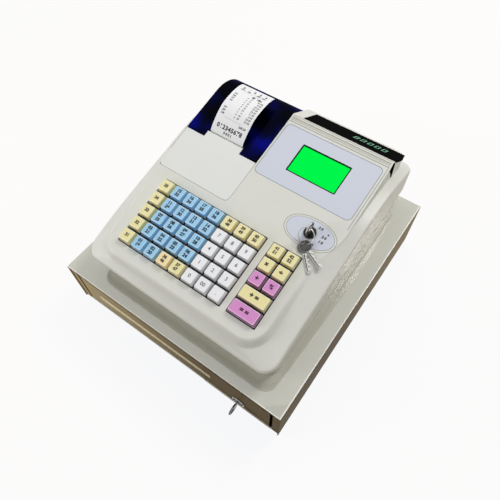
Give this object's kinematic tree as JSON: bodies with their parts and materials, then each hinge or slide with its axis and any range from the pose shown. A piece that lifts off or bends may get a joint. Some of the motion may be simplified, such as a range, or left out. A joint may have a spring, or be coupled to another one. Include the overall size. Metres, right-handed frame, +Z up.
{
  "type": "ticket register",
  "caption": "Sloping desktop ticket register with coloured keys, hooded displays and a receipt printer, standing on a steel cash drawer.",
  "frame": {"origin": "centre of the cash drawer cabinet's footprint, on the counter", "axes": "+X to the operator's right, +Y away from the operator, +Z up"},
  "size_m": [0.38, 0.4213, 0.2372],
  "materials": {
    "cabinet_paint": "cream powder coat, satin gloss",
    "zinc_steel": "zinc plated",
    "black_tray": "moulded black, fine grain",
    "lock_chrome": "nickel plated",
    "ivory_case": "ivory ABS, fine grain",
    "blue_lid": "dark translucent blue, polished",
    "paper": "thermal paper",
    "platen_rubber": "ground rubber",
    "black_window": "smoked, polished",
    "green_board": "solder mask",
    "lilac_label": "printed film, silver lilac",
    "green_screen": "lit green screen",
    "blue_caps": "sky blue moulded",
    "yellow_caps": "pale yellow moulded",
    "white_caps": "white moulded",
    "pink_caps": "pink moulded"
  },
  "bodies": {
    "register_and_cabinet": {"drawer_cabinet": "cabinet_paint", "cabinet_base": "cabinet_paint", "left_runner": "zinc_steel", "right_runner": "zinc_steel", "latch_unit": "zinc_steel", "lower_case": "ivory_case", "upper_case": "ivory_case", "keyboard_unit": "blue_caps", "main_board": "green_board", "print_mechanism": "black_tray", "label_panel": "lilac_label", "screen_module": "green_screen", "customer_display": "black_window", "rear_ports": "black_tray"},
    "cash_drawer": {"drawer_box": "cabinet_paint", "drawer_front": "cabinet_paint", "cash_tray": "black_tray"},
    "note_clip_1_body": {"note_clip_1": "zinc_steel"},
    "note_clip_2_body": {"note_clip_2": "zinc_steel"},
    "note_clip_3_body": {"note_clip_3": "zinc_steel"},
    "note_clip_4_body": {"note_clip_4": "zinc_steel"},
    "drawer_lock_body": {"drawer_lock": "lock_chrome"},
    "access_cover_body": {"access_cover": "ivory_case"},
    "blue_lid_body": {"printer_lid": "blue_lid", "receipt_strip": "paper"},
    "paper_roll_body": {"paper_roll": "paper"},
    "platen_roller_body": {"platen_roller": "platen_rubber"},
    "control_lock_body": {"control_lock": "black_window", "control_key": "lock_chrome"},
    "key_bunch_body": {"key_bunch": "lock_chrome"},
    "key_main_r1_c1_yellow_body": {"key_main_r1_c1_yellow": "yellow_caps"},
    "key_main_r1_c4_yellow_body": {"key_main_r1_c4_yellow": "yellow_caps"},
    "key_main_r1_c5_yellow_body": {"key_main_r1_c5_yellow": "yellow_caps"},
    "key_main_r1_c6_white_body": {"key_main_r1_c6_white": "white_caps"},
    "key_main_r1_c7_white_body": {"key_main_r1_c7_white": "white_caps"},
    "key_main_r1_c8_white_body": {"key_main_r1_c8_white": "white_caps"},
    "key_main_r2_c1_yellow_body": {"key_main_r2_c1_yellow": "yellow_caps"},
    "key_main_r2_c6_white_body": {"key_main_r2_c6_white": "white_caps"},
    "key_main_r2_c7_white_body": {"key_main_r2_c7_white": "white_caps"},
    "key_main_r2_c8_white_body": {"key_main_r2_c8_white": "white_caps"},
    "key_main_r3_c1_yellow_body": {"key_main_r3_c1_yellow": "yellow_caps"},
    "key_main_r3_c6_white_body": {"key_main_r3_c6_white": "white_caps"},
    "key_main_r3_c7_white_body": {"key_main_r3_c7_white": "white_caps"},
    "key_main_r3_c8_white_body": {"key_main_r3_c8_white": "white_caps"},
    "key_main_r4_c1_yellow_body": {"key_main_r4_c1_yellow": "yellow_caps"},
    "key_main_r4_c6_white_body": {"key_main_r4_c6_white": "white_caps"},
    "key_main_r4_c7_white_body": {"key_main_r4_c7_white": "white_caps"},
    "key_main_r4_c8_white_body": {"key_main_r4_c8_white": "white_caps"},
    "key_main_r5_c1_yellow_body": {"key_main_r5_c1_yellow": "yellow_caps"},
    "key_main_r5_c6_yellow_body": {"key_main_r5_c6_yellow": "yellow_caps"},
    "key_main_r5_c7_yellow_body": {"key_main_r5_c7_yellow": "yellow_caps"},
    "key_main_r5_c8_yellow_body": {"key_main_r5_c8_yellow": "yellow_caps"},
    "key_side_r1_c1_pink_body": {"key_side_r1_c1_pink": "pink_caps"},
    "key_side_r2_c1_yellow_body": {"key_side_r2_c1_yellow": "yellow_caps"},
    "key_side_r3_c1_pink_body": {"key_side_r3_c1_pink": "pink_caps"},
    "key_side_r3_c2_pink_body": {"key_side_r3_c2_pink": "pink_caps"},
    "key_side_r4_c1_yellow_body": {"key_side_r4_c1_yellow": "yellow_caps"},
    "key_side_r4_c2_yellow_body": {"key_side_r4_c2_yellow": "yellow_caps"},
    "key_side_r5_c1_yellow_body": {"key_side_r5_c1_yellow": "yellow_caps"},
    "key_side_r5_c2_yellow_body": {"key_side_r5_c2_yellow": "yellow_caps"}
  },
  "joints": [
    {"name": "access_cover_hinge", "type": "hinge", "parent": "register_and_cabinet", "child": "access_cover_body", "pos_m": [-0.0843, -0.0209, 0.18806], "axis": [1, 0, 0], "range_deg": [0, 70]},
    {"name": "blue_lid_hinge", "type": "hinge", "parent": "register_and_cabinet", "child": "blue_lid_body", "pos_m": [-0.0848, 0.1906, 0.1754], "axis": [-1, 0, 0], "range_deg": [0, 85]},
    {"name": "bunch_swing", "type": "hinge", "parent": "register_and_cabinet", "child": "key_bunch_body", "pos_m": [0.0989, -0.00498, 0.20678], "axis": [0, -0.2079, 0.9781], "range_deg": [-2, 20]},
    {"name": "cash_drawer_slide", "type": "slide", "parent": "register_and_cabinet", "child": "cash_drawer", "axis": [0, -1, 0], "range_m": [0, 0.26]},
    {"name": "control_lock_turn", "type": "hinge", "parent": "register_and_cabinet", "child": "control_lock_body", "pos_m": [0.0989, -0.00186, 0.1921], "axis": [0, -0.2079, 0.9781], "range_deg": [-45, 45]},
    {"name": "drawer_lock_turn", "type": "hinge", "parent": "cash_drawer", "child": "drawer_lock_body", "pos_m": [0.121, -0.1975, 0.025], "axis": [0, -1, 0], "range_deg": [0, 90]},
    {"name": "key_main_r1_c1_yellow_press", "type": "slide", "parent": "register_and_cabinet", "child": "key_main_r1_c1_yellow_body", "axis": [0, 0.2079, -0.9781], "range_m": [0, 0.003], "stiffness_N_per_m": 250},
    {"name": "key_main_r1_c4_yellow_press", "type": "slide", "parent": "register_and_cabinet", "child": "key_main_r1_c4_yellow_body", "axis": [0, 0.2079, -0.9781], "range_m": [0, 0.003], "stiffness_N_per_m": 250},
    {"name": "key_main_r1_c5_yellow_press", "type": "slide", "parent": "register_and_cabinet", "child": "key_main_r1_c5_yellow_body", "axis": [0, 0.2079, -0.9781], "range_m": [0, 0.003], "stiffness_N_per_m": 250},
    {"name": "key_main_r1_c6_white_press", "type": "slide", "parent": "register_and_cabinet", "child": "key_main_r1_c6_white_body", "axis": [0, 0.2079, -0.9781], "range_m": [0, 0.003], "stiffness_N_per_m": 250},
    {"name": "key_main_r1_c7_white_press", "type": "slide", "parent": "register_and_cabinet", "child": "key_main_r1_c7_white_body", "axis": [0, 0.2079, -0.9781], "range_m": [0, 0.003], "stiffness_N_per_m": 250},
    {"name": "key_main_r1_c8_white_press", "type": "slide", "parent": "register_and_cabinet", "child": "key_main_r1_c8_white_body", "axis": [0, 0.2079, -0.9781], "range_m": [0, 0.003], "stiffness_N_per_m": 250},
    {"name": "key_main_r2_c1_yellow_press", "type": "slide", "parent": "register_and_cabinet", "child": "key_main_r2_c1_yellow_body", "axis": [0, 0.2079, -0.9781], "range_m": [0, 0.003], "stiffness_N_per_m": 250},
    {"name": "key_main_r2_c6_white_press", "type": "slide", "parent": "register_and_cabinet", "child": "key_main_r2_c6_white_body", "axis": [0, 0.2079, -0.9781], "range_m": [0, 0.003], "stiffness_N_per_m": 250},
    {"name": "key_main_r2_c7_white_press", "type": "slide", "parent": "register_and_cabinet", "child": "key_main_r2_c7_white_body", "axis": [0, 0.2079, -0.9781], "range_m": [0, 0.003], "stiffness_N_per_m": 250},
    {"name": "key_main_r2_c8_white_press", "type": "slide", "parent": "register_and_cabinet", "child": "key_main_r2_c8_white_body", "axis": [0, 0.2079, -0.9781], "range_m": [0, 0.003], "stiffness_N_per_m": 250},
    {"name": "key_main_r3_c1_yellow_press", "type": "slide", "parent": "register_and_cabinet", "child": "key_main_r3_c1_yellow_body", "axis": [0, 0.2079, -0.9781], "range_m": [0, 0.003], "stiffness_N_per_m": 250},
    {"name": "key_main_r3_c6_white_press", "type": "slide", "parent": "register_and_cabinet", "child": "key_main_r3_c6_white_body", "axis": [0, 0.2079, -0.9781], "range_m": [0, 0.003], "stiffness_N_per_m": 250},
    {"name": "key_main_r3_c7_white_press", "type": "slide", "parent": "register_and_cabinet", "child": "key_main_r3_c7_white_body", "axis": [0, 0.2079, -0.9781], "range_m": [0, 0.003], "stiffness_N_per_m": 250},
    {"name": "key_main_r3_c8_white_press", "type": "slide", "parent": "register_and_cabinet", "child": "key_main_r3_c8_white_body", "axis": [0, 0.2079, -0.9781], "range_m": [0, 0.003], "stiffness_N_per_m": 250},
    {"name": "key_main_r4_c1_yellow_press", "type": "slide", "parent": "register_and_cabinet", "child": "key_main_r4_c1_yellow_body", "axis": [0, 0.2079, -0.9781], "range_m": [0, 0.003], "stiffness_N_per_m": 250},
    {"name": "key_main_r4_c6_white_press", "type": "slide", "parent": "register_and_cabinet", "child": "key_main_r4_c6_white_body", "axis": [0, 0.2079, -0.9781], "range_m": [0, 0.003], "stiffness_N_per_m": 250},
    {"name": "key_main_r4_c7_white_press", "type": "slide", "parent": "register_and_cabinet", "child": "key_main_r4_c7_white_body", "axis": [0, 0.2079, -0.9781], "range_m": [0, 0.003], "stiffness_N_per_m": 250},
    {"name": "key_main_r4_c8_white_press", "type": "slide", "parent": "register_and_cabinet", "child": "key_main_r4_c8_white_body", "axis": [0, 0.2079, -0.9781], "range_m": [0, 0.003], "stiffness_N_per_m": 250},
    {"name": "key_main_r5_c1_yellow_press", "type": "slide", "parent": "register_and_cabinet", "child": "key_main_r5_c1_yellow_body", "axis": [0, 0.2079, -0.9781], "range_m": [0, 0.003], "stiffness_N_per_m": 250},
    {"name": "key_main_r5_c6_yellow_press", "type": "slide", "parent": "register_and_cabinet", "child": "key_main_r5_c6_yellow_body", "axis": [0, 0.2079, -0.9781], "range_m": [0, 0.003], "stiffness_N_per_m": 250},
    {"name": "key_main_r5_c7_yellow_press", "type": "slide", "parent": "register_and_cabinet", "child": "key_main_r5_c7_yellow_body", "axis": [0, 0.2079, -0.9781], "range_m": [0, 0.003], "stiffness_N_per_m": 250},
    {"name": "key_main_r5_c8_yellow_press", "type": "slide", "parent": "register_and_cabinet", "child": "key_main_r5_c8_yellow_body", "axis": [0, 0.2079, -0.9781], "range_m": [0, 0.003], "stiffness_N_per_m": 250},
    {"name": "key_side_r1_c1_pink_press", "type": "slide", "parent": "register_and_cabinet", "child": "key_side_r1_c1_pink_body", "axis": [0, 0.2079, -0.9781], "range_m": [0, 0.003], "stiffness_N_per_m": 250},
    {"name": "key_side_r2_c1_yellow_press", "type": "slide", "parent": "register_and_cabinet", "child": "key_side_r2_c1_yellow_body", "axis": [0, 0.2079, -0.9781], "range_m": [0, 0.003], "stiffness_N_per_m": 250},
    {"name": "key_side_r3_c1_pink_press", "type": "slide", "parent": "register_and_cabinet", "child": "key_side_r3_c1_pink_body", "axis": [0, 0.2079, -0.9781], "range_m": [0, 0.003], "stiffness_N_per_m": 250},
    {"name": "key_side_r3_c2_pink_press", "type": "slide", "parent": "register_and_cabinet", "child": "key_side_r3_c2_pink_body", "axis": [0, 0.2079, -0.9781], "range_m": [0, 0.003], "stiffness_N_per_m": 250},
    {"name": "key_side_r4_c1_yellow_press", "type": "slide", "parent": "register_and_cabinet", "child": "key_side_r4_c1_yellow_body", "axis": [0, 0.2079, -0.9781], "range_m": [0, 0.003], "stiffness_N_per_m": 250},
    {"name": "key_side_r4_c2_yellow_press", "type": "slide", "parent": "register_and_cabinet", "child": "key_side_r4_c2_yellow_body", "axis": [0, 0.2079, -0.9781], "range_m": [0, 0.003], "stiffness_N_per_m": 250},
    {"name": "key_side_r5_c1_yellow_press", "type": "slide", "parent": "register_and_cabinet", "child": "key_side_r5_c1_yellow_body", "axis": [0, 0.2079, -0.9781], "range_m": [0, 0.003], "stiffness_N_per_m": 250},
    {"name": "key_side_r5_c2_yellow_press", "type": "slide", "parent": "register_and_cabinet", "child": "key_side_r5_c2_yellow_body", "axis": [0, 0.2079, -0.9781], "range_m": [0, 0.003], "stiffness_N_per_m": 250},
    {"name": "note_clip_1_lift", "type": "hinge", "parent": "cash_drawer", "child": "note_clip_1_body", "pos_m": [-0.1209, 0.0895, 0.05], "axis": [-1, 0, 0], "range_deg": [0, 45], "stiffness_Nm_per_rad": 0.12},
    {"name": "note_clip_2_lift", "type": "hinge", "parent": "cash_drawer", "child": "note_clip_2_body", "pos_m": [-0.0403, 0.0895, 0.05], "axis": [-1, 0, 0], "range_deg": [0, 45], "stiffness_Nm_per_rad": 0.12},
    {"name": "note_clip_3_lift", "type": "hinge", "parent": "cash_drawer", "child": "note_clip_3_body", "pos_m": [0.0403, 0.0895, 0.05], "axis": [-1, 0, 0], "range_deg": [0, 45], "stiffness_Nm_per_rad": 0.12},
    {"name": "note_clip_4_lift", "type": "hinge", "parent": "cash_drawer", "child": "note_clip_4_body", "pos_m": [0.1209, 0.0895, 0.05], "axis": [-1, 0, 0], "range_deg": [0, 45], "stiffness_Nm_per_rad": 0.12},
    {"name": "paper_roll_spin", "type": "hinge", "parent": "register_and_cabinet", "child": "paper_roll_body", "pos_m": [-0.0834, 0.11799, 0.1642], "axis": [1, 0, 0], "continuous": true},
    {"name": "platen_roller_spin", "type": "hinge", "parent": "register_and_cabinet", "child": "platen_roller_body", "pos_m": [-0.0834, 0.06749, 0.19459], "axis": [1, 0, 0], "continuous": true}
  ],
  "couplings": [
    {"joint": "platen_roller_spin", "follows": "paper_roll_spin", "ratio": 4.6667}
  ]
}
